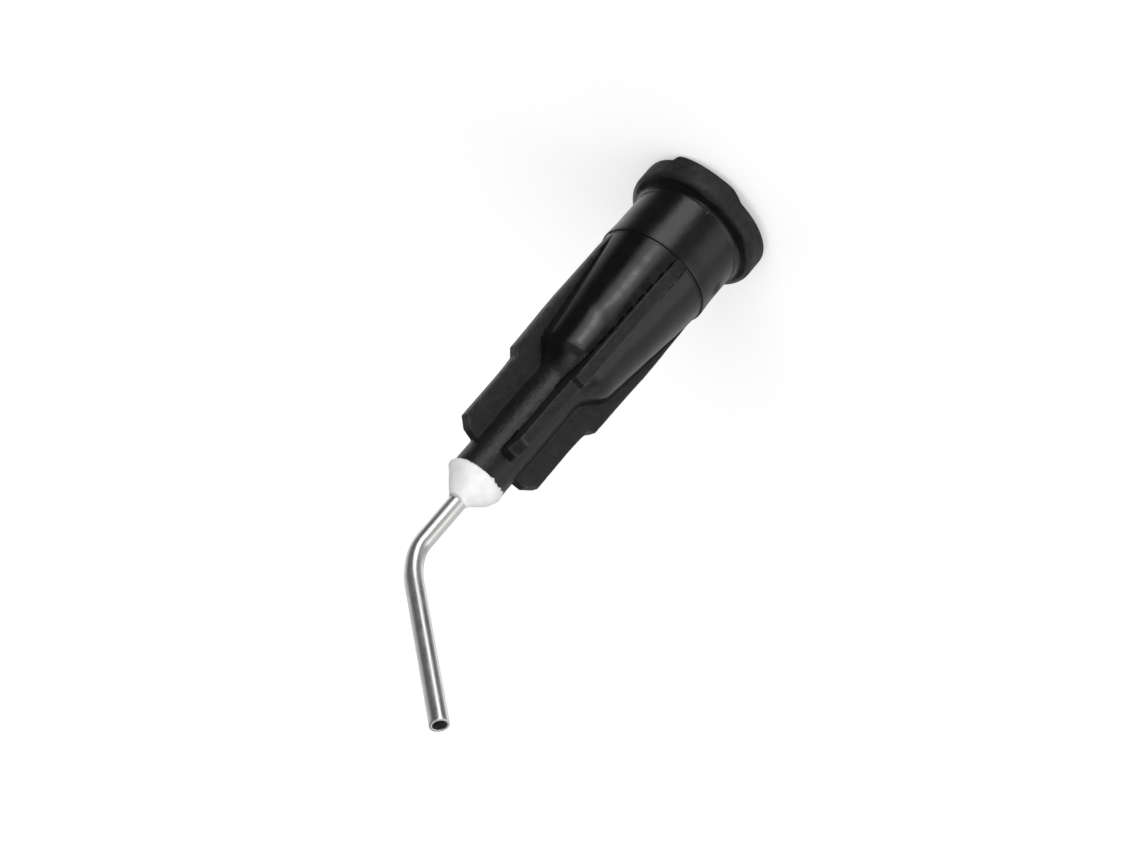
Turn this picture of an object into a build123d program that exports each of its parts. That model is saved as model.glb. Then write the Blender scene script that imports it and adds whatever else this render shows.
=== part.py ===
from build123d import *
import math
import os

# Blunt, pre-bent irrigation needle: a moulded luer-lock hub, a bent steel
# tube and the adhesive cone that holds the tube in the hub's nose.
# Millimetres. The hub stands on its mouth: the origin is the centre of the
# mouth plane, +Z runs along the hub's axis to the nose, and the tube bends
# towards +X.

# ---------------------------------------------------------------- hub
hub_len = 20.97          # mouth plane to nose end
ring_r = 3.90            # mouth ring, outside
ring_corner_z = 1.735    # where its outer face and its bearing side would meet
ring_round = 0.50        # rounding of that corner
bearing_deg = 25.0       # slope of the bearing side, rising to the neck
ring_fillet = 0.20       # fillet into the neck
rim_r = 2.66             # rim around the socket, flush with the mouth plane
neck_r = 3.24
lip_r, lip_z0, lip_z1 = 3.308, 4.50, 5.30   # the neck flares to a faint lip
neck_z1 = 5.49           # step between neck and barrel
barrel_r0 = 3.19         # barrel at the step
shoulder_r, shoulder_z = 2.44, 12.80        # barrel and shoulder cone meet here
nose_r, nose_z0 = 1.49, 14.02               # shoulder cone and nose meet here
shoulder_round, nose_round = 2.20, 1.30

# mouth side of the ring, twice, half a turn apart (degrees about +Z from +X):
# a level stretch, a slow ramp up from the mouth, then a lug that winds down
# to the mouth plane and ends in a wall. Each ramp is a plane tilted about
# tilt_az: (from, to, height at the axis, rise over ring_r)
tilt_az = 50.0
mouth_side = (
    (-73.7, -34.0, 0.285, 0.0),
    (-34.0, 43.5, 0.24, 0.38),
    (43.5, 106.3, -0.41, 0.75),
)

# ribs
rib_first = 39.3         # azimuth of the first of four
rib_count = 4
rib_w_up, rib_w_low = 0.72, 0.66            # up to the notch, and beyond it
rib_outline = (          # outer edge from the step to the end
    (3.19, 5.10), (3.20, 5.60), (3.225, 6.40), (3.22, 10.40), (3.115, 14.40),
    (2.755, 14.70), (2.690, 15.25), (2.675, 18.90), (2.10, 19.45), (1.48, 19.58),
)
rib_notch_z = 14.70

# luer socket, 6 % taper on the diameter
socket_r0 = 2.15
socket_depth = 8.0
socket_taper = 0.06
socket_lead = 0.12       # mouth chamfer
channel_r = 0.42
channel_z0 = 10.6        # end of the socket's floor cone
stop_z = 14.00           # shoulder that the tube's inner end butts on

# ---------------------------------------------------------------- tube
tube_r = 0.483
tube_bore_r = 0.345
bend_z = 26.40           # corner of the centre line
bend_deg = 47.2
bend_up, bend_out = 1.12, 1.78   # corner to where the bend starts and ends
leg_len = 10.29          # corner to tip

# ---------------------------------------------------------------- adhesive
well_r = 1.05            # glue well in the nose end
well_bottom_r = 0.60
well_bottom_z = 18.00
bead_r = 1.55
bead_mid_r, bead_mid_z = 1.17, 21.74
bead_top_r, bead_top_z = 0.61, 22.40
bead_end_z = 22.60       # end of the thin collar up the tube


def ring_of(points_face, degrees=360.0):
    """Turns a face, drawn in XZ, about the hub's axis, from +X."""
    return revolve(points_face, axis=Axis.Z, revolution_arc=degrees)


def face_xz(*edges):
    """A face in the XZ plane from (r, z) runs; an arc is given as
    (start, middle, end)."""
    parts = []
    for e in edges:
        pts = [Vector(p[0], 0, p[1]) for p in e]
        if len(pts) == 3:
            parts.append(ThreePointArc(*pts))
        else:
            parts.append(Line(*pts))
    return make_face(Wire(parts))


def rounded_face(points, radii):
    """A face in the XZ plane from (r, z) corners, each with its own radius."""
    n = len(points)
    runs, arcs = [], []
    for i in range(n):
        p = Vector(points[i][0], 0, points[i][1])
        if radii[i] <= 0:
            arcs.append((p, None, p))
            continue
        q0, q1 = points[i - 1], points[(i + 1) % n]
        a = (Vector(q0[0], 0, q0[1]) - p).normalized()
        b = (Vector(q1[0], 0, q1[1]) - p).normalized()
        half = math.acos(max(-1.0, min(1.0, a.dot(b)))) / 2
        t = radii[i] / math.tan(half)
        mid = (a + b).normalized()
        arcs.append((p + a * t, p + mid * (radii[i] / math.sin(half) - radii[i]), p + b * t))
    for i in range(n):
        start, middle, end = arcs[i]
        if middle is not None:
            runs.append(ThreePointArc(start, middle, end))
        runs.append(Line(end, arcs[(i + 1) % n][0]))
    return make_face(Wire(runs))


def one(shape):
    solids = shape.solids()
    return solids[0] if len(solids) == 1 else Compound(children=list(solids))


# outside of the hub, without ribs
bearing_z = ring_corner_z + (ring_r - neck_r) * math.tan(math.radians(bearing_deg))
profile = [
    ((0, 0), 0), ((ring_r, 0), 0), ((ring_r, ring_corner_z), ring_round), ((neck_r, bearing_z), ring_fillet),
    ((neck_r, lip_z0), 0), ((lip_r, lip_z1), 0), ((lip_r - 0.01, neck_z1 - 0.03), 0), ((barrel_r0, neck_z1), 0),
    ((shoulder_r, shoulder_z), shoulder_round), ((nose_r, nose_z0), nose_round), ((nose_r, hub_len), 0), ((0, hub_len), 0),
]
body = ring_of(rounded_face([p for p, r in profile], [r for p, r in profile]))


def below(height, rise, size=12.0):
    """The half space under the plane of one stretch of the mouth side."""
    g = rise / ring_r
    c, s = math.cos(math.radians(tilt_az)), math.sin(math.radians(tilt_az))
    pl = Plane(origin=(0, 0, height), x_dir=(c, s, g), z_dir=(-g * c, -g * s, 1))
    return pl * Pos(0, 0, -size / 2) * Box(2 * size, 2 * size, size)


# the mouth side is cut back to its ramps, outside the rim
for a0, a1, height, rise in mouth_side:
    band = face_xz(((rim_r, -0.5), (ring_r + 0.4, -0.5)), ((ring_r + 0.4, -0.5), (ring_r + 0.4, 0.9)),
                   ((ring_r + 0.4, 0.9), (rim_r, 0.9)), ((rim_r, 0.9), (rim_r, -0.5)))
    sector = Rot(0, 0, a0) * ring_of(band, a1 - a0)
    cutter = sector & below(height, rise)
    for turn in (0, 180):
        body -= Rot(0, 0, turn) * cutter

# ribs: two flat blanks, wide and narrow, then four of the pair
inner = [(0.8, rib_outline[-1][1] + 0.07), (0.8, rib_outline[0][1])]
blank = extrude(Plane.XZ * make_face(Polyline(*(list(rib_outline) + inner), close=True)), amount=rib_w_low / 2, both=True)
upper = [p for p in rib_outline if p[1] <= rib_notch_z] + [(0.8, rib_notch_z), (0.8, rib_outline[0][1])]
blank += extrude(Plane.XZ * make_face(Polyline(*upper, close=True)), amount=rib_w_up / 2, both=True)
for i in range(rib_count):
    body += Rot(0, 0, rib_first + i * 360.0 / rib_count) * blank

# inside of the hub
socket_r1 = socket_r0 - socket_taper * socket_depth / 2
bore = ring_of(face_xz(
    ((0, -1), (socket_r0 + socket_lead, -1)),
    ((socket_r0 + socket_lead, -1), (socket_r0 + socket_lead, 0)),
    ((socket_r0 + socket_lead, 0), (socket_r0, socket_lead)),
    ((socket_r0, socket_lead), (socket_r1, socket_depth)),
    ((socket_r1, socket_depth), (channel_r, channel_z0)),
    ((channel_r, channel_z0), (channel_r, stop_z)),
    ((channel_r, stop_z), (tube_r, stop_z)),
    ((tube_r, stop_z), (tube_r, well_bottom_z)),
    ((tube_r, well_bottom_z), (well_bottom_r, well_bottom_z)),
    ((well_bottom_r, well_bottom_z), (well_r, hub_len)),
    ((well_r, hub_len), (well_r, hub_len + 1)),
    ((well_r, hub_len + 1), (0, hub_len + 1)),
    ((0, hub_len + 1), (0, -1)),
))
hub = one(body - bore)

# tube: straight, one bend that opens out along it, straight. The bend is two
# tangent arcs of half the turn each; their radii follow from where it starts
# and ends.
turn = math.radians(bend_deg)
dx, dz = math.sin(turn), math.cos(turn)
k = 1 / (2 * math.cos(turn / 2))
h_sum = (bend_up + bend_out) / (1 + 2 * k)
h_up, h_out = (h_sum - (bend_out - bend_up)) / 2, (h_sum + (bend_out - bend_up)) / 2
r_up, r_out = h_up / math.tan(turn / 4), h_out / math.tan(turn / 4)


def on_arc(x, z, heading, r, angle):
    """Where an arc that starts at x, z along heading (from +Z) has got to."""
    return Vector(x + r * (math.cos(heading) - math.cos(heading + angle)), 0, z + r * (math.sin(heading + angle) - math.sin(heading)))


p0 = Vector(0, 0, stop_z)
p1 = Vector(0, 0, bend_z - bend_up)
m1 = on_arc(p1.X, p1.Z, 0.0, r_up, turn / 4)
p2 = on_arc(p1.X, p1.Z, 0.0, r_up, turn / 2)
m2 = on_arc(p2.X, p2.Z, turn / 2, r_out, turn / 4)
p3 = on_arc(p2.X, p2.Z, turn / 2, r_out, turn / 2)
p4 = Vector(leg_len * dx, 0, bend_z + leg_len * dz)
path = Wire([Line(p0, p1), ThreePointArc(p1, m1, p2), ThreePointArc(p2, m2, p3), Line(p3, p4)])
section = Plane(origin=p0, z_dir=(0, 0, 1)) * (Circle(tube_r) - Circle(tube_bore_r))
cannula = one(sweep(section, path=path))

# adhesive: cone on the nose end, thin collar up the tube, plug in the well
bead = one(ring_of(face_xz(
    ((tube_r, well_bottom_z), (well_bottom_r, well_bottom_z)),
    ((well_bottom_r, well_bottom_z), (well_r, hub_len)),
    ((well_r, hub_len), (bead_r, hub_len)),
    ((bead_r, hub_len), (bead_r, hub_len + 0.12)),
    ((bead_r, hub_len + 0.12), (bead_mid_r, bead_mid_z), (bead_top_r, bead_top_z)),
    ((bead_top_r, bead_top_z), (tube_r, bead_end_z)),
    ((tube_r, bead_end_z), (tube_r, well_bottom_z)),
)))

os.makedirs("parts", exist_ok=True)
for name, shape in (("hub", hub), ("cannula", cannula), ("adhesive_bead", bead)):
    shape.label = name
    export_step(shape, "parts/" + name + ".step")
    bb = shape.bounding_box()
    print(name, "solids", len(shape.solids()), "volume %.3f" % shape.volume,
          "box", tuple(round(v, 3) for v in (bb.min.X, bb.min.Y, bb.min.Z, bb.max.X, bb.max.Y, bb.max.Z)))
area = math.pi * (tube_r ** 2 - tube_bore_r ** 2)
length = (p1 - p0).length + (r_up + r_out) * turn / 2 + (p4 - p3).length
print("bend radii %.3f %.3f, end of the bend %.4f from its place" % (r_up, r_out, (p3 - Vector(bend_out * dx, 0, bend_z + bend_out * dz)).length))
print("tube length %.3f, section x length %.3f" % (length, area * length))
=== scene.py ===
import math

import bpy
import numpy as np
from mathutils import Matrix, Vector


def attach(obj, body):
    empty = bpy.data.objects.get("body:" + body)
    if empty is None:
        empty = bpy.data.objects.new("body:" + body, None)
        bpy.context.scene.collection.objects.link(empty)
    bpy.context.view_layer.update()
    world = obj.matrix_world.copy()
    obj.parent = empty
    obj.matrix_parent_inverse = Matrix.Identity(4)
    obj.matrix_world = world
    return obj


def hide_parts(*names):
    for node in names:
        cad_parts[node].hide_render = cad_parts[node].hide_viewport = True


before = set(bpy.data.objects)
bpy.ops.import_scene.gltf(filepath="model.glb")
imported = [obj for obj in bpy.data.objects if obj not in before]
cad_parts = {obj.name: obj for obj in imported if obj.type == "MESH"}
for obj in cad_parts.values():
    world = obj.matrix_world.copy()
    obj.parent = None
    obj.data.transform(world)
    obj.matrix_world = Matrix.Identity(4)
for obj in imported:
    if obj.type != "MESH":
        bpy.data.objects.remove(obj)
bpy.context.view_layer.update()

MM = 0.001
scene = bpy.context.scene

# ------------------------------------------------------------------ camera
# The photograph's camera, worked out in the object's own frame: it looks at
# the standing hub from above and is rolled, so that +Z points down left.
CAM_AT = (61.0147, 81.8285, 64.9801)
CAM_X = Vector((0.78505, -0.21567, -0.58067))
CAM_DOWN = Vector((0.33002, -0.64768, 0.68673))
CAM_LOOK = Vector((-0.52419, -0.73075, -0.43728))
LENS = 70.016

cam_data = bpy.data.cameras.new("camera")
cam_data.lens = LENS
cam_data.sensor_width = 36.0
cam_data.sensor_fit = "HORIZONTAL"
cam_data.clip_start = 0.005
cam_data.clip_end = 20.0
camera = bpy.data.objects.new("camera", cam_data)
scene.collection.objects.link(camera)
z_axis = (-CAM_LOOK).normalized()
x_axis = (CAM_X - z_axis * CAM_X.dot(z_axis)).normalized()
y_axis = z_axis.cross(x_axis)
m = Matrix.Identity(4)
for row in range(3):
    m[row][0], m[row][1], m[row][2] = x_axis[row], y_axis[row], z_axis[row]
    m[row][3] = CAM_AT[row] * MM
camera.matrix_world = m
scene.camera = camera
LIGHT_AZ = 53.3   # degrees about +Z: the studio set is laid out from here


# ------------------------------------------------------------------ shapes
# The moulded hub and the adhesive are distance fields in millimetres. Their
# surfaces are drawn out as even quads, then every vertex is moved onto the
# field, so fillets, draft, sinks and soft edges are all in the mesh.
def smooth01(x, a, b):
    t = np.clip((x - a) / (b - a), 0.0, 1.0)
    return t * t * (3 - 2 * t)


def smin(a, b, k):
    h = np.maximum(k - np.abs(a - b), 0.0) / k
    return np.minimum(a, b) - h * h * k * 0.25


def smax(a, b, k):
    return -smin(-a, -b, k)


def rounded(points, radii, steps=6):
    """A closed outline with an arc of its own radius at each corner."""
    out = []
    n = len(points)
    for i in range(n):
        p0, p1, p2 = (np.array(points[j % n], float) for j in (i - 1, i, i + 1))
        r = radii[i]
        a, b = p0 - p1, p2 - p1
        la, lb = np.linalg.norm(a), np.linalg.norm(b)
        a, b = a / la, b / lb
        cosang = np.clip(a @ b, -1, 1)
        half = math.acos(cosang) / 2
        if r <= 0 or half > math.pi / 2 - 1e-3:
            out.append(p1)
            continue
        t = min(r / math.tan(half), 0.49 * la, 0.49 * lb)
        r = t * math.tan(half)
        bis = (a + b) / np.linalg.norm(a + b)
        c = p1 + bis * (r / math.sin(half))
        q0, q1 = p1 + a * t - c, p1 + b * t - c
        s0, s1 = math.atan2(q0[1], q0[0]), math.atan2(q1[1], q1[0])
        d = (s1 - s0 + math.pi) % (2 * math.pi) - math.pi
        parts = steps if r < 0.4 else max(steps, int(abs(d) / math.radians(1.2)))
        for k in range(parts + 1):
            s = s0 + d * k / parts
            out.append(c + r * np.array([math.cos(s), math.sin(s)]))
    return np.array(out)


def outline_distance(px, py, poly):
    """Signed distance to a closed outline, negative inside."""
    shape = px.shape
    px, py = px.ravel(), py.ravel()
    d = np.full(px.shape, 1e18)
    sign = np.ones(px.shape)
    n = len(poly)
    for i in range(n):
        ax, ay = poly[i]
        bx, by = poly[i - 1]
        ex, ey = bx - ax, by - ay
        if ex * ex + ey * ey < 1e-14:
            continue
        wx, wy = px - ax, py - ay
        t = np.clip((wx * ex + wy * ey) / (ex * ex + ey * ey), 0, 1)
        qx, qy = wx - ex * t, wy - ey * t
        d = np.minimum(d, qx * qx + qy * qy)
        c1, c2, c3 = py >= ay, py < by, ex * wy > ey * wx
        flip = (c1 & c2 & c3) | (~c1 & ~c2 & ~c3)
        sign[flip] *= -1
    return (sign * np.sqrt(d)).reshape(shape)


class Outline:
    """An outline's distance, exact or from a fine table."""
    exact = True

    def __init__(self, poly, lo, hi, step=0.02):
        self.poly = poly
        self.lo, self.step = np.array(lo, float), step
        nx, ny = (int(math.ceil((hi[i] - lo[i]) / step)) + 1 for i in (0, 1))
        gx = lo[0] + step * np.arange(nx)
        gy = lo[1] + step * np.arange(ny)
        self.table = outline_distance(*np.meshgrid(gx, gy, indexing="ij"), poly)

    def __call__(self, x, y):
        if Outline.exact and x.size < 300000:
            return outline_distance(x, y, self.poly)
        fx = np.clip((x - self.lo[0]) / self.step, 0, self.table.shape[0] - 1.001)
        fy = np.clip((y - self.lo[1]) / self.step, 0, self.table.shape[1] - 1.001)
        ix, iy = fx.astype(np.int32), fy.astype(np.int32)
        fx, fy = fx - ix, fy - iy
        t = self.table
        return ((t[ix, iy] * (1 - fx) + t[ix + 1, iy] * fx) * (1 - fy)
                + (t[ix, iy + 1] * (1 - fx) + t[ix + 1, iy + 1] * fx) * fy)


def draw_out(field, gx, gy, gz):
    """Even quads over a field's zero surface, on a grid of planes."""
    nx, ny, nz = len(gx), len(gy), len(gz)
    X, Y, Z = np.meshgrid(gx, gy, gz, indexing="ij")
    F = field(X, Y, Z)
    del X, Y, Z
    inside = F < 0
    corners = [(i, j, k) for i in (0, 1) for j in (0, 1) for k in (0, 1)]
    count = np.zeros((nx - 1, ny - 1, nz - 1), np.int8)
    for i, j, k in corners:
        count += inside[i:nx - 1 + i, j:ny - 1 + j, k:nz - 1 + k]
    mixed = (count > 0) & (count < 8)
    ci, cj, ck = np.nonzero(mixed)
    index = np.full(mixed.shape, -1, np.int64)
    index[ci, cj, ck] = np.arange(len(ci))
    axes = (gx, gy, gz)
    acc = np.zeros((len(ci), 3))
    hits = np.zeros(len(ci))
    for a in corners:
        for axis in range(3):
            if a[axis]:
                continue
            b = list(a)
            b[axis] = 1
            fa = F[ci + a[0], cj + a[1], ck + a[2]]
            fb = F[ci + b[0], cj + b[1], ck + b[2]]
            cross = (fa < 0) != (fb < 0)
            t = np.where(cross, fa / np.where(cross, fa - fb, 1), 0)
            pa = np.stack([axes[0][ci + a[0]], axes[1][cj + a[1]], axes[2][ck + a[2]]], 1)
            pb = np.stack([axes[0][ci + b[0]], axes[1][cj + b[1]], axes[2][ck + b[2]]], 1)
            acc += np.where(cross[:, None], pa + (pb - pa) * t[:, None], 0)
            hits += cross
    verts = acc / hits[:, None]
    quads = []
    for axis in range(3):
        lo = [slice(None)] * 3
        hi = [slice(None)] * 3
        lo[axis], hi[axis] = slice(0, -1), slice(1, None)
        A, B = inside[tuple(lo)], inside[tuple(hi)]
        u, v = (axis + 1) % 3, (axis + 2) % 3
        e = np.argwhere(A != B)
        keep = (e[:, u] > 0) & (e[:, v] > 0) & (e[:, u] < inside.shape[u] - 1) & (e[:, v] < inside.shape[v] - 1)
        e = e[keep]
        forward = A[e[:, 0], e[:, 1], e[:, 2]]
        ring = []
        for du, dv in ((-1, -1), (0, -1), (0, 0), (-1, 0)):
            c = e.copy()
            c[:, u] += du
            c[:, v] += dv
            ring.append(index[c[:, 0], c[:, 1], c[:, 2]])
        q = np.stack(ring, 1)
        q[~forward] = q[~forward][:, ::-1]
        quads.append(q)
    return verts, np.concatenate(quads)


def gradient(field, p, eps):
    g = np.empty_like(p)
    for a in range(3):
        hi, lo = p.copy(), p.copy()
        hi[:, a] += eps
        lo[:, a] -= eps
        g[:, a] = (field(*hi.T) - field(*lo.T)) / (2 * eps)
    return g


def settle(field, verts, quads, cell, rounds=3, relax=2):
    """Moves each vertex onto the field, evening the quads along the surface."""
    p = verts
    edges = np.concatenate([quads[:, [i, (i + 1) % 4]] for i in range(4)])
    for r in range(relax + 1):
        Outline.exact = r == relax
        for _ in range(rounds if r == 0 else 2 if r == relax else 1):
            f = field(*p.T)
            g = gradient(field, p, 0.006)
            n2 = np.maximum((g * g).sum(1), 0.05)
            step = -(f / n2)[:, None] * g
            length = np.linalg.norm(step, axis=1, keepdims=True)
            p = p + step * np.minimum(1, cell / np.maximum(length, 1e-9))
        if r < relax:
            g = gradient(field, p, 0.02)
            g /= np.maximum(np.linalg.norm(g, axis=1, keepdims=True), 1e-9)
            total = np.zeros_like(p)
            n = np.zeros(len(p))
            np.add.at(total, edges[:, 0], p[edges[:, 1]])
            np.add.at(n, edges[:, 0], 1)
            d = total / n[:, None] - p
            d -= (d * g).sum(1, keepdims=True) * g
            p = p + 0.5 * d
    return p


def mesh_object(name, verts_mm, faces, normals=None, smooth=True, corner_normals=None):
    me = bpy.data.meshes.new(name)
    nv, nf = len(verts_mm), len(faces)
    me.vertices.add(nv)
    me.vertices.foreach_set("co", (np.asarray(verts_mm) * MM).astype(np.float32).ravel())
    faces = np.asarray(faces, np.int32)
    me.loops.add(faces.size)
    me.loops.foreach_set("vertex_index", faces.ravel())
    me.polygons.add(nf)
    me.polygons.foreach_set("loop_start", np.arange(0, faces.size, faces.shape[1], dtype=np.int32))
    me.update(calc_edges=True)
    me.validate()
    me.polygons.foreach_set("use_smooth", np.full(len(me.polygons), smooth))
    if normals is not None:
        me.normals_split_custom_set_from_vertices(normals.astype(np.float32))
    if corner_normals is not None:
        me.normals_split_custom_set(corner_normals.astype(np.float32))
    ob = bpy.data.objects.new(name, me)
    scene.collection.objects.link(ob)
    return ob


# ------------------------------------------------------------------ hub
HUB_LEN = 20.97
RIB_AZ = 39.3
core_poly = rounded(
    [(-1, 0), (2.66, 0), (2.66, 0.62), (3.24, 0.62), (3.24, 4.40), (3.288, 5.28), (3.284, 5.41), (3.188, 5.47), (3.184, 5.53), (3.195, 5.58),
     (2.428, 12.92), (1.500, 14.16), (1.490, 21.0), (-1, 21.0)],
    [0, 0.10, 0.0, 0.0, 4.0, 0.12, 0.05, 0.012, 0.012, 0.03, 1.70, 1.20, 0.08, 0])
# the four ribs' outer edges, each as it came from the mould
rib_polys = [rounded(p, [0, 0] + [0.5] * 5 + [notch, 0.12, 0.3, 0.3, 0.06, 0.06, 0.0, 0]) for notch, p in zip((0.13, 0.07, 0.07, 0.07), (
    [(0.4, 5.1), (3.18, 5.1), (3.20, 5.60), (3.225, 6.4), (3.205, 8.5), (3.20, 10.4), (3.15, 12.6), (3.115, 14.46),
     (2.765, 14.64), (2.70, 15.25), (2.675, 16.2), (2.675, 18.84), (2.08, 19.44), (1.48, 19.58), (0.4, 19.70)],
    [(0.4, 5.1), (3.17, 5.1), (3.19, 5.60), (3.225, 6.5), (3.226, 8.6), (3.245, 10.4), (3.180, 12.7), (3.135, 14.33),
     (2.780, 14.75), (2.74, 15.25), (2.71, 16.1), (2.70, 18.98), (2.14, 19.42), (1.48, 19.52), (0.4, 19.60)],
    [(0.4, 5.1), (3.16, 5.1), (3.19, 5.60), (3.215, 6.4), (3.205, 8.5), (3.21, 10.4), (3.15, 12.6), (3.110, 14.40),
     (2.755, 14.84), (2.70, 15.30), (2.675, 16.2), (2.675, 18.94), (2.10, 19.48), (1.48, 19.58), (0.4, 19.70)],
    [(0.4, 5.1), (3.12, 5.1), (3.12, 5.62), (3.185, 6.6), (3.197, 8.5), (3.20, 10.2), (3.120, 12.6), (3.10, 14.42),
     (2.760, 14.86), (2.70, 15.25), (2.655, 16.2), (2.655, 19.00), (2.12, 19.50), (1.48, 19.58), (0.4, 19.70)]))]
# mouth ring: a thread with its bearing side sloping up to the neck
ring_poly = rounded([(2.2, -1.5), (3.90, -1.5), (3.90, 1.735), (3.00, 2.155), (2.2, 2.155)], [0, 0, 0.50, 0.3, 0], 10)
bore_poly = rounded(
    [(-1, -1), (2.30, -1), (2.30, -0.02), (2.15, 0.13), (1.91, 8.0), (0.42, 10.6), (0.42, 14.0), (0.483, 14.0),
     (0.483, 18.0), (0.60, 18.0), (1.05, 20.97), (1.05, 22.0), (-1, 22.0)],
    [0, 0, 0.05, 0.08, 0.15, 0.2, 0, 0, 0, 0, 0, 0, 0])
core = Outline(core_poly, (0, -1), (6.2, 22.2))
ribs = [Outline(p, (0, -1), (6.2, 22.2)) for p in rib_polys]
bore = Outline(bore_poly, (0, -1), (6.2, 22.2))
ring = Outline(ring_poly, (0, -1), (6.2, 22.2))

# height of the ring's mouth side round the half turn: two lugs, each with a
# slow lead-in ramp, a quick one, and a wall at its far end
LUG_AZ = (-73.7, -72.9, -72.0, -64.0, -50.0, -30.0, -16.0, 0.0, 15.0, 30.0, 37.0, 43.0, 47.0, 50.5, 60.0, 70.0, 80.0, 90.0, 100.0, 105.0, 106.3)
LUG_Z = (0.04, 0.30, 0.38, 0.32, 0.26, 0.25, 0.35, 0.455, 0.535, 0.60, 0.615, 0.46, 0.37, 0.328, 0.335, 0.30, 0.24, 0.155, 0.065, 0.035, 0.04)
lug_az = np.arange(-73.7, 106.3 + 0.01, 0.25)
lug_z = np.interp(lug_az, LUG_AZ, LUG_Z)
_k = np.exp(-0.5 * (np.arange(-12, 13) / 4.0) ** 2)
lug_z = np.convolve(np.concatenate([lug_z[-13:-1], lug_z, lug_z[1:13]]), _k / _k.sum(), "valid")


def around(th, a, b, soft_a, soft_b):
    """1 between two azimuths, with a soft start and end, twice a turn."""
    mid = (a + b) / 2
    d = (th - mid + 90.0) % 180.0 - 90.0
    h = (b - a) / 2
    return smooth01(d, -h - soft_a, -h) * (1 - smooth01(d, h, h + soft_b))


def bump(th, z, az, zc, wa, wz):
    """A soft mound at an azimuth and height: widths in mm."""
    d = ((th - az + 180.0) % 360.0 - 180.0) * (math.pi / 180.0) * 2.9
    return np.exp(-(d / wa) ** 2 - ((z - zc) / wz) ** 2)


def rib_field(x, y, z):
    ax, ay = np.abs(x), np.abs(y)
    along_x = ax >= ay
    u = np.where(along_x, ax, ay)
    w = np.where(along_x, ay, ax)
    which = np.where(along_x, np.where(x >= 0, 0, 2), np.where(y >= 0, 1, 3))
    side = ribs[0](u, z)
    for k in (1, 2, 3):
        sel = which == k
        if sel.any():
            side[sel] = ribs[k](u[sel], z[sel])
    half = 0.322 + 0.034 * smooth01(z, 15.0, 14.4) + 0.022 * np.maximum(3.24 - u, 0)
    edge = 0.055
    q1, q2 = side + edge, w - half + edge
    return np.minimum(np.maximum(q1, q2), 0) + np.hypot(np.maximum(q1, 0), np.maximum(q2, 0)) - edge


def hub_field(x, y, z, k=0.10, ribbed=True):
    """x and y are in the ribs' own frame, with the first rib along +x."""
    r = np.sqrt(x * x + y * y)
    th = np.degrees(np.arctan2(y, x)) + RIB_AZ
    d = core(r, z)
    # shallow sinks and a slight twist where the barrel cooled
    on = smooth01(z, 5.9, 7.0) * (1 - smooth01(z, 12.2, 12.8))
    wave = (0.030 * bump(th, z, 84.0, 10.55, 0.62, 0.62) - 0.026 * bump(th, z, 58.0, 10.20, 0.55, 0.55)
            - 0.012 * bump(th, z, 70.0, 8.9, 0.7, 0.8)
            + 0.024 * bump(th, z, -6.0, 9.2, 0.8, 0.9) - 0.022 * bump(th, z, 10.0, 10.8, 0.7, 0.7)
            + 0.026 * bump(th, z, 170.0, 10.4, 0.7, 0.8) - 0.020 * bump(th, z, 262.0, 9.4, 0.8, 0.9))
    t = np.radians(th)
    wave = wave + 0.0045 * np.sin(2.3 * z + 2.0 * np.sin(2 * t + 0.7)) * np.cos(3 * t + 1.7 * z) + 0.0012 * np.sin(7.3 * z + 4 * t + np.sin(2.1 * z))
    d = d - wave * on
    # gate mark low on the neck, and a tiny nib under the mouth ring
    d = d - 0.085 * bump(th, z, -18.0, 4.05, 0.30, 0.42) - 0.03 * bump(th, z, 50.4, 2.18, 0.10, 0.08)
    # mouth ring with its thread lugs
    z0 = np.interp((th + 73.7) % 180.0 - 73.7, lug_az, lug_z)
    lean = 0.035 * np.cos(np.radians(th + 37.0))
    band = smax(ring(r, z - lean), z0 - z, 0.22)
    band = smax(band, 2.3 - r, 0.05)
    d = smin(d, band, 0.20)
    # ribs
    if ribbed:
        d = smin(d, rib_field(x, y, z), k)
    # small nick in one rib's edge
    nick = np.sqrt((y - 2.74) ** 2 + (x - 0.22) ** 2 + (z - 16.06) ** 2) - 0.09
    d = smax(d, -nick, 0.05)
    return smax(d, -bore(r, z), 0.05)


def steps_between(stops):
    """Grid planes: (from, step) pairs, the last pair giving the end."""
    out = []
    for (a, s), (b, _) in zip(stops, stops[1:]):
        n = max(1, int(round((b - a) / s)))
        out += list(a + (b - a) * np.arange(n) / n)
    out.append(stops[-1][0])
    return np.array(out)


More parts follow.
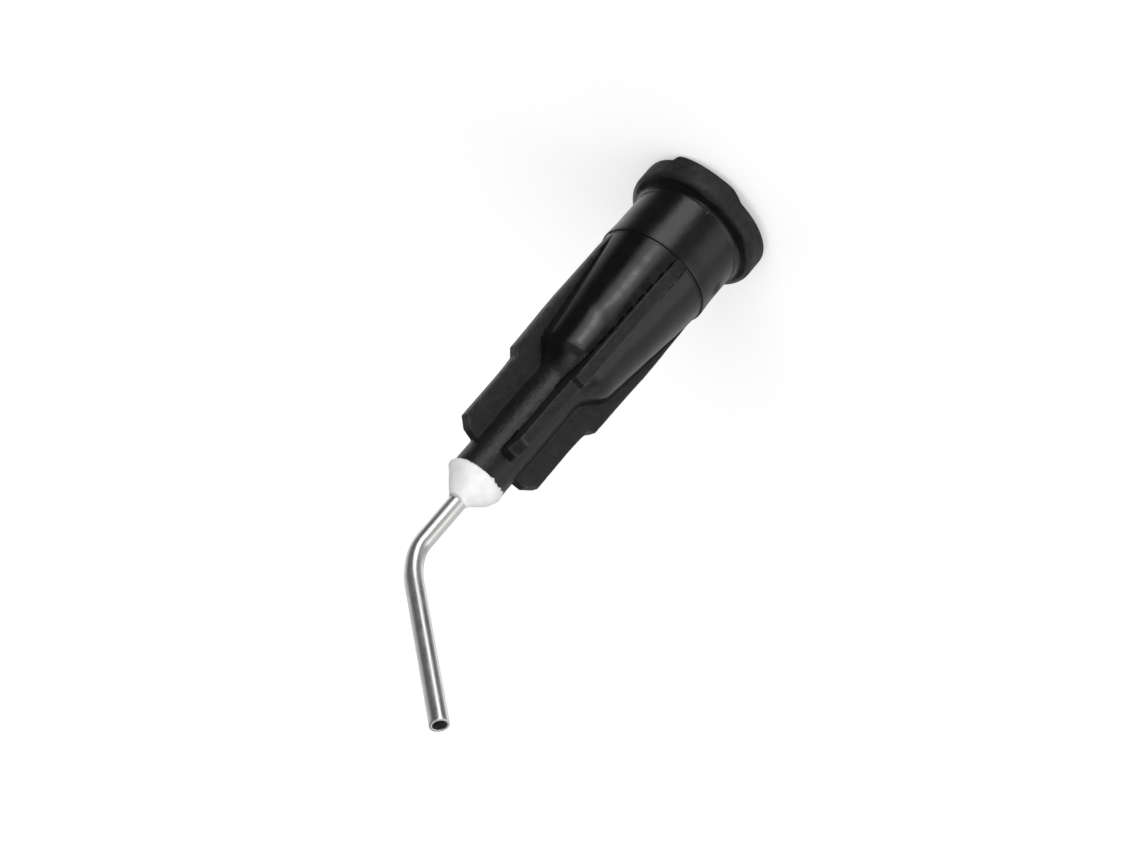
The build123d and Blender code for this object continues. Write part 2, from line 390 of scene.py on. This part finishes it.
def build_hub():
    h = 0.090
    half = 4.15
    n = int(math.ceil(2 * half / h))
    g = (np.arange(n + 1) - n / 2.0) * h + 0.0007
    gz = steps_between([(-0.12, 0.06), (2.46, 0.12), (5.30, 0.03), (6.08, 0.15), (12.2, 0.07), (15.2, 0.17), (18.80, 0.06), (19.82, 0.15),
                        (20.85, 0.06), (21.15, 0.06)])
    v, q = draw_out(hub_field, g, g, gz)
    v = settle(hub_field, v, q, 0.05)
    nrm = gradient(hub_field, v, 0.012)
    smooth = (core(np.hypot(v[:, 0], v[:, 1]), v[:, 2]) < 0.03) & (rib_field(*v.T) > 0.30) & (v[:, 2] > 5.9) & (v[:, 2] < 20.7)
    nrm[smooth] = gradient(hub_field, v[smooth], 0.05)
    nrm /= np.maximum(np.linalg.norm(nrm, axis=1, keepdims=True), 1e-9)
    # crisp normals where the ribs meet the barrel and along the step
    r, z = np.hypot(v[:, 0], v[:, 1]), v[:, 2]
    crease = (np.abs(core(r, z)) < 0.16) & (np.abs(rib_field(*v.T)) < 0.16) & (z > 5.5)
    crease |= (np.abs(z - 5.49) < 0.13) & (r > 3.05) & (r < 3.45)
    corner = nrm[q]
    sel = np.nonzero(crease[q].any(axis=1))[0]

    def hard(p):
        plain = lambda a, b, c_: hub_field(a, b, c_, ribbed=False)
        unit = lambda a: a / np.maximum(np.linalg.norm(a, axis=1, keepdims=True), 1e-9)
        wall, barrel, whole = unit(gradient(rib_field, p, 0.004)), unit(gradient(plain, p, 0.004)), unit(gradient(hub_field, p, 0.012))
        # the small fillet at a rib's root is shaded with the rib's wall
        over = rib_field(*p.T) - plain(*p.T)
        on_rib_side = (over < 0) | ((over < 0.10) & ((barrel * whole).sum(axis=1) < math.cos(math.radians(18.0))))
        return np.where(on_rib_side[:, None], wall, barrel)

    own = hard(v)[q[sel]]
    middle = hard(v[q[sel]].mean(axis=1))[:, None, :]
    agree = (own * middle).sum(axis=2, keepdims=True) > math.cos(math.radians(16.0))
    corner[sel] = np.where(agree, own, middle)
    c, s = math.cos(math.radians(RIB_AZ)), math.sin(math.radians(RIB_AZ))
    rot = np.array([[c, -s, 0], [s, c, 0], [0, 0, 1]])
    v, corner = v @ rot.T, corner.reshape(-1, 3) @ rot.T
    # the mouth stands on the floor, and the nose ends at its real length
    v[:, 2] = np.clip(v[:, 2], 0.0, HUB_LEN)
    ob = mesh_object("hub_moulding", v, q, corner_normals=corner)
    # the mould's own finish: polished barrel and nose, spark-eroded ring and ribs
    r, z = np.hypot(v[:, 0], v[:, 1]), v[:, 2]
    on_core = 1 - smooth01(np.abs(core(r, z)), 0.02, 0.06)
    polish = 0.76 + 0.24 * smooth01(z, 5.40, 5.60) - 0.66 * smooth01(z, 12.9, 14.2)
    polish = polish * on_core * smooth01(z, 2.0, 2.4)
    bearing = smooth01(z, 1.60, 1.80) * smooth01(r, 3.86, 3.72) * smooth01(z, 2.6, 2.4)
    polish = np.maximum(polish, 0.80 * bearing)
    back = v @ rot                     # into the ribs' own frame again
    ax, ay = np.abs(back[:, 0]), np.abs(back[:, 1])
    u, w = np.maximum(ax, ay), np.minimum(ax, ay)
    half = 0.322 + 0.034 * smooth01(z, 15.0, 14.4) + 0.022 * np.maximum(3.24 - u, 0)
    on_rib = (u > 1.75) & (z > 5.9) & (np.abs(rib_field(*back.T)) < 0.03) & (core(r, z) > 0.10)
    top = np.interp(z, (5.6, 14.46, 14.64, 18.84, 19.44, 19.58), (3.20, 3.115, 2.765, 2.675, 2.08, 1.48))
    # wear and painted highlight: a paler band along each rib's top edges and round its chamfer corners
    wear_and_highlight = np.exp(-((w - half) / 0.050) ** 2) * np.exp(-((u - top) / 0.10) ** 2)
    for cu, cz in ((3.115, 14.46), (2.675, 18.84), (2.08, 19.44)):
        wear_and_highlight = np.maximum(wear_and_highlight, np.exp(-((u - cu) ** 2 + (z - cz) ** 2) / 0.06 ** 2) * (w < half + 0.05))
    wear_and_highlight = wear_and_highlight * on_rib
    for name, value in (("polish", polish), ("wear_and_highlight", wear_and_highlight), ("cast", on_core * smooth01(z, 12.9, 14.2)), ("ringed", smooth01(r, 3.70, 3.85) * (1 - smooth01(z, 2.2, 2.5)))):
        layer = ob.data.attributes.new(name, "FLOAT", "POINT")
        layer.data.foreach_set("value", value.astype(np.float32))
    return ob


hub = build_hub()
print("hub quads", len(hub.data.polygons))

# ------------------------------------------------------------------ adhesive
bead_poly = rounded(
    [(-1, 20.0), (1.535, 20.0), (1.535, 21.08), (1.50, 21.16), (1.13, 21.72), (0.66, 22.33), (0.575, 22.44), (0.50, 22.60), (0.30, 22.66), (-1, 22.66)],
    [0, 0, 0.10, 0.18, 0.9, 0.30, 0.10, 0.03, 0.0, 0])
bead_out = Outline(bead_poly, (0, 19), (2.4, 23.2), 0.01)


def ragged(th):
    """How far the adhesive runs back over the nose's edge, round it."""
    t = np.radians(th)
    calm = 0.30 + 1.15 * (1 - smooth01(((th - 10.0 + 180) % 360) - 180, 0.0, 24.0) * (1 - smooth01(th, 128.0, 150.0)))
    waves = (0.022 * np.sin(7 * t + 2.2) + 0.020 * np.sin(13 * t + 4.4) + 0.016 * np.sin(23 * t + 1.3)
             + 0.014 * np.sin(37 * t + 0.4) + 0.010 * np.sin(61 * t + 2.0))
    far = np.abs((th - 72.0 + 180) % 360 - 180)
    return (0.045 + calm * waves + 0.15 * smooth01(far, 55.0, 100.0)
            + 0.034 * np.sin(47 * t + 1.0) * smooth01(th, 27.0, 15.0) * smooth01(th, -50.0, -30.0)
            - 0.06 * np.exp(-((th - 146.0) / 26.0) ** 2)
            + 0.07 * np.exp(-((th - 4.0) / 3.5) ** 2) + 0.06 * np.exp(-((th + 17.0) / 3.5) ** 2)
            + 0.11 * np.exp(-(((th - 28.5 + 180) % 360 - 180) / 4.5) ** 2))


def bead_field(x, y, z):
    lean = np.clip((z - 21.0) / 1.4, 0, 1)
    xs = x + 0.055 * lean * (1 - lean) * 4 * 0.6
    ys = y - 0.050 * lean * (1 - lean) * 4 * 0.6
    r = np.sqrt(xs * xs + ys * ys)
    th = np.degrees(np.arctan2(y, x))
    right = 0.5 + 0.5 * np.cos(np.radians(th + 37.0))
    left = np.exp(-(((th - 143.0 + 180) % 360 - 180) / 48.0) ** 2)
    d = bead_out(r, z + 0.09 * right * smooth01(z, 21.9, 22.3))
    d = d - 0.105 * left * np.exp(-((z - 21.07) / 0.21) ** 2)
    body = smooth01(z, 21.05, 21.25) * (1 - smooth01(z, 22.2, 22.4))
    t = np.radians(th)
    d = d - 0.125 * np.exp(-(((th + 28.0 + 180) % 360 - 180) / 46.0) ** 2) * np.exp(-((z - 21.62) / 0.36) ** 2)
    d = d - body * (0.016 * np.sin(2 * t + 0.8) + 0.010 * np.sin(3 * t + 2.6 + 1.5 * z) + 0.006 * np.sin(5 * t + 3 * z))
    # the skirt ends raggedly on the nose, thinning to its edge
    start = HUB_LEN - ragged(th)
    d = smax(d, start - z, 0.05)
    thin = 1.482 + (0.055 + 0.065 * left) * smooth01(z, start - 0.02, start + 0.13 - 0.08 * left)
    return smax(d, r - thin, 0.02)


def build_bead():
    h = 0.045
    n = int(math.ceil(3.3 / h))
    g = (np.arange(n + 1) - n / 2.0) * h + 0.0004
    gz = steps_between([(20.62, 0.035), (21.25, 0.05), (22.80, 0.05)])
    v, q = draw_out(bead_field, g, g, gz)
    v = settle(bead_field, v, q, 0.03)
    nrm = gradient(bead_field, v, 0.01)
    nrm /= np.maximum(np.linalg.norm(nrm, axis=1, keepdims=True), 1e-9)
    ob = mesh_object("adhesive_cone", v, q, nrm)
    # how much adhesive lies over the tube: thin, it lets the steel's grey through; it also carries painted shade,
    # darker towards the root by the tube and lighter round azimuth -37 degrees
    thick = np.hypot(v[:, 0], v[:, 1]) - 0.483
    right = 0.5 + 0.5 * np.cos(np.arctan2(v[:, 1], v[:, 0]) + math.radians(37.0))
    cover_and_shade = smooth01(thick + 0.8 * np.maximum(22.42 - v[:, 2], 0) + 0.11 * smooth01(right, 0.35, 0.85), -0.02, 0.15)
    layer = ob.data.attributes.new("cover_and_shade", "FLOAT", "POINT")
    layer.data.foreach_set("value", cover_and_shade.astype(np.float32))
    return ob


bead = build_bead()
print("bead quads", len(bead.data.polygons))

# ------------------------------------------------------------------ tube
TUBE_R, TUBE_IN = 0.483, 0.345
BEND_Z, LEG = 26.40, 10.29
BEND = math.radians(47.2)
TUBE_Z0 = 14.0


T_UP, T_OUT = 1.12, 1.78          # where the bend starts and ends, from its corner


def tube_line():
    """Centre points, directions and share of bend, from the stop to the tip."""
    c = np.array([0.0, 0.0, BEND_Z])
    d0 = np.array([0.0, 0.0, 1.0])
    d1 = np.array([math.sin(BEND), 0.0, math.cos(BEND)])
    p0, p3 = c - T_UP * d0, c + T_OUT * d1
    p1, p2 = p0 + 0.60 * T_UP * d0, p3 - 0.60 * T_OUT * d1
    points, dirs, share = [], [], []
    for z in np.linspace(TUBE_Z0, p0[2], 40)[:-1]:
        points.append(np.array([0.0, 0.0, z]))
        dirs.append(d0)
        share.append(0.0)
    for u in np.linspace(0, 1, 65):
        w = 1 - u
        points.append(w ** 3 * p0 + 3 * w * w * u * p1 + 3 * w * u * u * p2 + u ** 3 * p3)
        t = w * w * (p1 - p0) + 2 * w * u * (p2 - p1) + u * u * (p3 - p2)
        dirs.append(t / np.linalg.norm(t))
        share.append(math.sin(math.pi * u ** 0.8))
    for d in list(np.linspace(T_OUT, LEG - 0.03, 46)[1:]):
        points.append(c + d * d1)
        dirs.append(d1)
        share.append(0.0)
    return points, dirs, share


def build_tube():
    points, dirs, share = tube_line()
    along = np.concatenate([[0], np.cumsum(np.linalg.norm(np.diff(points, axis=0), axis=1))])
    seg = 96
    ang = np.arange(seg) * 2 * math.pi / seg
    rings, uvs = [], []

    def ring(i, r, past=0.0):
        """A ring at station i, or past it along the leg's own line."""
        t = dirs[i]
        g = share[i] * share[i] * (3 - 2 * share[i])
        inplane, across = r * (1 - 0.055 * g), r * (1 + 0.022 * g)
        e1 = np.array([t[2], 0, -t[0]])
        e2 = np.array([0, 1, 0])
        rings.append(points[i] + t * past + np.cos(ang)[:, None] * e1 * inplane + np.sin(ang)[:, None] * e2 * across)
        uvs.append(along[i] + past)

    n = len(points)
    for i in range(n):
        ring(i, TUBE_R)
    last = n - 1
    ring(last, TUBE_R - 0.0015, 0.014)
    ring(last, TUBE_R - 0.006, 0.024)
    ring(last, TUBE_R - 0.016, 0.030)
    ring(last, (TUBE_R + TUBE_IN) / 2, 0.030)
    ring(last, TUBE_IN + 0.013, 0.030)
    ring(last, TUBE_IN + 0.004, 0.023)
    ring(last, TUBE_IN, 0.010)
    for i in range(last, -1, -1):
        ring(i, TUBE_IN)
    ring(0, (TUBE_R + TUBE_IN) / 2)
    v = np.concatenate(rings)
    n = len(rings)
    faces, face_uv = [], []
    for i in range(n):
        j = (i + 1) % n
        for k in range(seg):
            m = (k + 1) % seg
            faces.append((i * seg + k, i * seg + m, j * seg + m, j * seg + k))
            a, b = k / seg, (k + 1) / seg
            face_uv += [(a, uvs[i]), (b, uvs[i]), (b, uvs[j]), (a, uvs[j])]
    ob = mesh_object("steel_tube", v, faces)
    layer = ob.data.uv_layers.new(name="along")
    layer.data.foreach_set("uv", np.array(face_uv, np.float32).ravel())
    # marks the bore's surface, where shade is painted into the steel's colour
    inner = np.zeros((n, seg), np.float32)
    inner[last + 8:] = 1.0
    layer = ob.data.attributes.new("inner", "FLOAT", "POINT")
    layer.data.foreach_set("value", inner.ravel())
    return ob


tube = build_tube()
for ob in (tube,):
    bpy.context.view_layer.objects.active = ob
    me = ob.data
    # outward normals all round
    import bmesh
    bm = bmesh.new()
    bm.from_mesh(me)
    bmesh.ops.recalc_face_normals(bm, faces=bm.faces)
    bm.to_mesh(me)
    bm.free()
    me.set_sharp_from_angle(angle=math.radians(50))


# ------------------------------------------------------------------ materials
def new_material(name):
    mat = bpy.data.materials.new(name)
    mat.use_nodes = True
    nt = mat.node_tree
    nt.nodes.clear()
    out = nt.nodes.new("ShaderNodeOutputMaterial")
    bsdf = nt.nodes.new("ShaderNodeBsdfPrincipled")
    nt.links.new(bsdf.outputs["BSDF"], out.inputs["Surface"])
    return mat, nt, bsdf


def noise(nt, vector, scale, detail=2.0, rough=0.5):
    n = nt.nodes.new("ShaderNodeTexNoise")
    n.inputs["Scale"].default_value = scale
    n.inputs["Detail"].default_value = detail
    n.inputs["Roughness"].default_value = rough
    nt.links.new(vector, n.inputs["Vector"])
    return n.outputs["Fac"]


def ramp(nt, value, a, b, lo, hi):
    r = nt.nodes.new("ShaderNodeMapRange")
    r.interpolation_type = "SMOOTHSTEP"
    for key, v in (("From Min", a), ("From Max", b), ("To Min", lo), ("To Max", hi)):
        r.inputs[key].default_value = v
    nt.links.new(value, r.inputs["Value"])
    return r.outputs["Result"]


def math_node(nt, op, a, b=None):
    n = nt.nodes.new("ShaderNodeMath")
    n.operation = op
    for i, v in enumerate((a, b)):
        if v is None:
            continue
        if isinstance(v, (int, float)):
            n.inputs[i].default_value = v
        else:
            nt.links.new(v, n.inputs[i])
    return n.outputs[0]


def scaled(nt, vector, sx, sy, sz):
    mp = nt.nodes.new("ShaderNodeMapping")
    mp.inputs["Scale"].default_value = (sx, sy, sz)
    nt.links.new(vector, mp.inputs["Vector"])
    return mp.outputs["Vector"]


def bump_node(nt, height, strength, distance, normal=None):
    b = nt.nodes.new("ShaderNodeBump")
    b.inputs["Strength"].default_value = strength
    b.inputs["Distance"].default_value = distance
    nt.links.new(height, b.inputs["Height"])
    if normal is not None:
        nt.links.new(normal, b.inputs["Normal"])
    return b.outputs["Normal"]


def attribute(nt, name):
    n = nt.nodes.new("ShaderNodeAttribute")
    n.attribute_type = "GEOMETRY"
    n.attribute_name = name
    return n.outputs["Fac"]


def plastic():
    mat, nt, bsdf = new_material("black_polypropylene")
    geo = nt.nodes.new("ShaderNodeTexCoord")
    obj = geo.outputs["Object"]
    mm = scaled(nt, obj, 1000, 1000, 1000)
    polish, ringed, cast = attribute(nt, "polish"), attribute(nt, "ringed"), attribute(nt, "cast")
    # faint clouding in the moulding
    cloud = noise(nt, mm, 1.3, 3.0, 0.55)
    col = nt.nodes.new("ShaderNodeMix")
    col.data_type = "RGBA"
    col.inputs["A"].default_value = (0.0022, 0.0022, 0.0023, 1)
    col.inputs["B"].default_value = (0.0040, 0.0040, 0.0041, 1)
    grain = noise(nt, mm, 7.5, 3.0, 0.65)
    blotch = noise(nt, mm, 2.3, 2.0, 0.55)
    dull = math_node(nt, "SUBTRACT", 1.0, polish)
    speck = math_node(nt, "MULTIPLY", dull, ramp(nt, math_node(nt, "ADD", grain, blotch), 0.85, 1.20, 0.0, 1.0))
    nt.links.new(math_node(nt, "ADD", ramp(nt, cloud, 0.3, 0.7, 0.0, 1.0), math_node(nt, "MULTIPLY", speck, 3.2)), col.inputs["Factor"])
    col.clamp_factor = False
    # edges painted paler, here and there: partly rubbed wear, partly a painted highlight along the ribs' edges
    rub_and_highlight = math_node(nt, "MULTIPLY", attribute(nt, "wear_and_highlight"), ramp(nt, noise(nt, mm, 2.6, 3.0, 0.65), 0.36, 0.60, 0.15, 1.0))
    edge = nt.nodes.new("ShaderNodeMix")
    edge.data_type = "RGBA"
    edge.inputs["B"].default_value = (0.036, 0.036, 0.036, 1)
    nt.links.new(rub_and_highlight, edge.inputs["Factor"])
    nt.links.new(col.outputs["Result"], edge.inputs["A"])
    nt.links.new(edge.outputs["Result"], bsdf.inputs["Base Color"])
    # polished where the mould was, eroded on the ring and the ribs
    fine = noise(nt, mm, 7.0, 3.0, 0.6)
    rough = math_node(nt, "ADD", ramp(nt, polish, 0.0, 1.0, 0.45, 0.15), ramp(nt, fine, 0.3, 0.7, -0.025, 0.045))
    cloudy = ramp(nt, noise(nt, mm, 0.85, 3.0, 0.6), 0.35, 0.65, 0.03, 0.21)
    rough = math_node(nt, "ADD", rough, math_node(nt, "MULTIPLY", ringed, cloudy))
    nt.links.new(rough, bsdf.inputs["Roughness"])
    bsdf.inputs["IOR"].default_value = 1.49
    slow = noise(nt, scaled(nt, obj, 1600, 1600, 500), 1.0, 2.0, 0.5)
    pitted = math_node(nt, "MULTIPLY", cast, noise(nt, mm, 4.0, 2.0, 0.6))
    slow = math_node(nt, "ADD", slow, math_node(nt, "MULTIPLY", pitted, 4.6))
    height = math_node(nt, "ADD", math_node(nt, "MULTIPLY", slow, 0.35),
                       math_node(nt, "MULTIPLY", dull, math_node(nt, "ADD", math_node(nt, "MULTIPLY", grain, 0.66),
                                                                  math_node(nt, "MULTIPLY", blotch, 1.35))))
    nt.links.new(bump_node(nt, height, 0.5, 0.00004), bsdf.inputs["Normal"])
    return mat


def steel():
    mat, nt, bsdf = new_material("drawn_stainless")
    uv = nt.nodes.new("ShaderNodeUVMap")
    uv.uv_map = "along"
    # the drawing lines run along the tube, finely spaced round it
    lines = noise(nt, scaled(nt, uv.outputs["UV"], 26, 0.14, 1), 1.0, 3.0, 0.55)
    hair = noise(nt, scaled(nt, uv.outputs["UV"], 62, 0.7, 1), 1.0, 2.0, 0.5)
    tc = nt.nodes.new("ShaderNodeTexCoord")
    mm = scaled(nt, tc.outputs["Object"], 1000, 1000, 1000)
    cloud = noise(nt, mm, 1.1, 3.0, 0.6)
    col = nt.nodes.new("ShaderNodeMix")
    col.data_type = "RGBA"
    col.inputs["A"].default_value = (0.74, 0.735, 0.725, 1)
    col.inputs["B"].default_value = (0.86, 0.855, 0.845, 1)
    nt.links.new(ramp(nt, lines, 0.3, 0.7, 0.0, 1.0), col.inputs["Factor"])
    # the bore's colour is painted darker grey: painted shade inside the tube
    bore_shade_mix = nt.nodes.new("ShaderNodeMix")
    bore_shade_mix.data_type = "RGBA"
    bore_shade_mix.inputs["B"].default_value = (0.60, 0.60, 0.60, 1)
    nt.links.new(attribute(nt, "inner"), bore_shade_mix.inputs["Factor"])
    nt.links.new(col.outputs["Result"], bore_shade_mix.inputs["A"])
    nt.links.new(bore_shade_mix.outputs["Result"], bsdf.inputs["Base Color"])
    bsdf.inputs["Metallic"].default_value = 0.95
    nt.links.new(ramp(nt, cloud, 0.3, 0.7, 0.23, 0.33), bsdf.inputs["Roughness"])
    n1 = bump_node(nt, lines, 0.32, 0.000014)
    n2 = bump_node(nt, hair, 0.30, 0.000005, n1)
    nt.links.new(n2, bsdf.inputs["Normal"])
    return mat


def adhesive():
    mat, nt, bsdf = new_material("white_adhesive")
    tc = nt.nodes.new("ShaderNodeTexCoord")
    mm = scaled(nt, tc.outputs["Object"], 1000, 1000, 1000)
    cloud = noise(nt, mm, 2.2, 3.0, 0.55)
    col = nt.nodes.new("ShaderNodeMix")
    col.data_type = "RGBA"
    col.inputs["A"].default_value = (0.78, 0.78, 0.775, 1)
    col.inputs["B"].default_value = (0.85, 0.85, 0.845, 1)
    nt.links.new(ramp(nt, cloud, 0.3, 0.7, 0.0, 1.0), col.inputs["Factor"])
    # thin adhesive and painted shade: the colour falls to grey where the cover mask is low, at the root by the tube
    thin = nt.nodes.new("ShaderNodeMix")
    thin.data_type = "RGBA"
    thin.inputs["A"].default_value = (0.25, 0.25, 0.25, 1)
    nt.links.new(attribute(nt, "cover_and_shade"), thin.inputs["Factor"])
    nt.links.new(col.outputs["Result"], thin.inputs["B"])
    nt.links.new(thin.outputs["Result"], bsdf.inputs["Base Color"])
    nt.links.new(ramp(nt, noise(nt, mm, 6.0, 3.0, 0.6), 0.3, 0.7, 0.32, 0.45), bsdf.inputs["Roughness"])
    bsdf.inputs["IOR"].default_value = 1.52
    bsdf.inputs["Subsurface Weight"].default_value = 0.25
    bsdf.inputs["Subsurface Radius"].default_value = (1.0, 1.0, 1.0)
    bsdf.inputs["Subsurface Scale"].default_value = 0.0003
    n1 = bump_node(nt, noise(nt, mm, 3.0, 2.0, 0.5), 0.25, 0.00003)
    nt.links.new(n1, bsdf.inputs["Normal"])
    return mat


hub.data.materials.append(plastic())
tube.data.materials.append(steel())
bead.data.materials.append(adhesive())

for piece, node, slot in ((hub, "hub", "black_plastic"), (tube, "cannula", "steel_tube"), (bead, "adhesive_bead", "white_adhesive")):
    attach(piece, "root")
    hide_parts(node)

# ------------------------------------------------------------------ floor
fm, fnt, fb = new_material("studio_floor")
fb.inputs["Base Color"].default_value = (0.80, 0.80, 0.80, 1)
fb.inputs["Emission Color"].default_value = (1, 1, 1, 1)
fb.inputs["Emission Strength"].default_value = 0.40
fb.inputs["Roughness"].default_value = 0.9
fb.inputs["Specular IOR Level"].default_value = 0.0
me = bpy.data.meshes.new("floor")
S = 1.5
me.from_pydata([(-S, -S, 0), (S, -S, 0), (S, S, 0), (-S, S, 0)], [], [(0, 1, 2, 3)])
floor = bpy.data.objects.new("floor", me)
scene.collection.objects.link(floor)
floor.data.materials.append(fm)
floor.visible_glossy = False
floor.visible_shadow = False
floor.visible_diffuse = False

# ------------------------------------------------------------------ studio
# Soft boxes and dark flags all round, painted on the world by direction:
# azimuth is counted from LIGHT_AZ, elevation from the floor.
world = bpy.data.worlds.new("studio")
scene.world = world
world.use_nodes = True
wt = world.node_tree
wt.nodes.clear()
w_out = wt.nodes.new("ShaderNodeOutputWorld")
w_tc = wt.nodes.new("ShaderNodeTexCoord")
w_rot = wt.nodes.new("ShaderNodeVectorRotate")
w_rot.rotation_type = "Z_AXIS"
w_rot.inputs["Angle"].default_value = -math.radians(LIGHT_AZ)
wt.links.new(w_tc.outputs["Generated"], w_rot.inputs["Vector"])
w_sep = wt.nodes.new("ShaderNodeSeparateXYZ")
wt.links.new(w_rot.outputs["Vector"], w_sep.inputs[0])
AZ = math_node(wt, "MULTIPLY", math_node(wt, "ARCTAN2", w_sep.outputs["Y"], w_sep.outputs["X"]), 180 / math.pi)
EL = math_node(wt, "MULTIPLY", math_node(wt, "ARCSINE", w_sep.outputs["Z"]), 180 / math.pi)


def window(value, a0, a1, b0, b1):
    """0 below a0, 1 from a1 to b0, 0 above b1."""
    return math_node(wt, "MULTIPLY", ramp(wt, value, a0, a1, 0, 1), ramp(wt, value, b0, b1, 1, 0))


def times(*values):
    out = values[0]
    for v in values[1:]:
        out = math_node(wt, "MULTIPLY", out, v)
    return out


def plus(*values):
    out = values[0]
    for v in values[1:]:
        out = math_node(wt, "ADD", out, v)
    return out


flag = window(AZ, 51, 59, 96, 122)                     # black flag on the left
under = times(window(AZ, -60, -20, 84, 100), ramp(wt, EL, -66, -56, 1, 0))   # the dark table edge below
behind = times(ramp(wt, math_node(wt, "ABSOLUTE", AZ), 136, 148, 0, 1), window(EL, 10, 16, 24, 34))   # dark above the table's far side
gap = times(window(AZ, -22, -13, 3, 12), window(EL, -19, -17, -8, -3))           # between the boxes
surround = times(math_node(wt, "SUBTRACT", 1.0, times(flag, 0.74)), math_node(wt, "SUBTRACT", 1.0, times(under, 0.85)),
                 math_node(wt, "SUBTRACT", 1.0, times(gap, 0.5)), math_node(wt, "SUBTRACT", 1.0, times(behind, 0.7)), ramp(wt, EL, -78, -66, 0.45, 1),
                 ramp(wt, EL, 8, 56, 0.26, 0.05))
right = times(window(AZ, -178, -134, -38, -12), math_node(wt, "SUBTRACT", 1.0, times(behind, 0.8)), ramp(wt, EL, -2, 46, 0.36, 0.02), ramp(wt, EL, -50, -20, 0.30, 1.0))
side_box = times(window(AZ, -82, -62, -46, -22), window(EL, -52, -24, 12, 52), 0.51)
front_top = times(window(AZ, -96, -60, -2, 12), window(EL, -2, 14, 54, 74), 0.36)
shoulder = times(window(AZ, 2, 14, 30, 40), window(EL, 26, 38, 58, 74), 0.78)
rim_light = times(window(AZ, -130, -118, -98, -86), window(EL, 16, 23, 37, 45), 0.42)
leg_left = times(window(AZ, 88, 112, 150, 165), window(EL, -28, -25, -18, -15), 0.35)
leg_middle = times(window(AZ, -24, -12, 2, 12), window(EL, -26, -23, -19, -17), 0.25)
left_back = times(window(AZ, 108, 140, 160, 180), window(EL, -70, -30, 10, 17), 0.46)
back_low = times(ramp(wt, math_node(wt, "ABSOLUTE", AZ), 104, 140, 0, 1), window(EL, -75, -62, -48, -34), 0.66)
key = times(window(AZ, 2, 18, 40, 56), ramp(wt, EL, -66, -46, 0, 1), ramp(wt, EL, 1, 5, 1, 0.12),
            math_node(wt, "SUBTRACT", 1.0, times(window(EL, -29, -25.5, -21, -19), 0.34)), 1.62)
key_low = times(window(AZ, 8, 22, 44, 58), window(EL, -50, -40, -29, -21), 0.32)
key_foot = times(window(AZ, 42, 49, 61, 68), window(EL, -60, -50, -42, -36), 1.1)
key_core = times(window(AZ, 18, 26, 30, 38), window(EL, -20.5, -17.5, -13, -8), 3.0)
total = plus(surround, right, side_box, front_top, left_back, back_low, key, key_low, key_foot, key_core,
             shoulder, leg_left, leg_middle, rim_light)

w_bg = wt.nodes.new("ShaderNodeBackground")
wt.links.new(total, w_bg.inputs["Strength"])
w_bg.inputs["Color"].default_value = (1, 1, 1, 1)
w_plain = wt.nodes.new("ShaderNodeBackground")
w_plain.inputs["Color"].default_value = (1, 1, 1, 1)
w_plain.inputs["Strength"].default_value = 1.0
w_path = wt.nodes.new("ShaderNodeLightPath")
w_mix = wt.nodes.new("ShaderNodeMixShader")
wt.links.new(w_path.outputs["Is Camera Ray"], w_mix.inputs[0])
wt.links.new(w_bg.outputs[0], w_mix.inputs[1])
wt.links.new(w_plain.outputs[0], w_mix.inputs[2])
wt.links.new(w_mix.outputs[0], w_out.inputs["Surface"])

# Two broad overhead panels light the white adhesive and the floor; they are
# scrimmed off the glossy surfaces.
for name, az, el, strength, spread in (("panel_front", LIGHT_AZ - 2.0, 34.0, 1.32, 90.0), ("panel_top", 0.0, 90.0, 0.9, 120.0)):
    light = bpy.data.lights.new(name, "SUN")
    light.energy = strength
    light.angle = math.radians(spread)
    ob = bpy.data.objects.new(name, light)
    a, e = math.radians(az), math.radians(el)
    toward = Vector((math.cos(a) * math.cos(e), math.sin(a) * math.cos(e), math.sin(e)))
    ob.rotation_euler = toward.to_track_quat("Z", "Y").to_euler()
    ob.visible_glossy = False
    scene.collection.objects.link(ob)

scene.view_settings.view_transform = "Standard"
scene.view_settings.look = "None"
scene.view_settings.exposure = 0.0
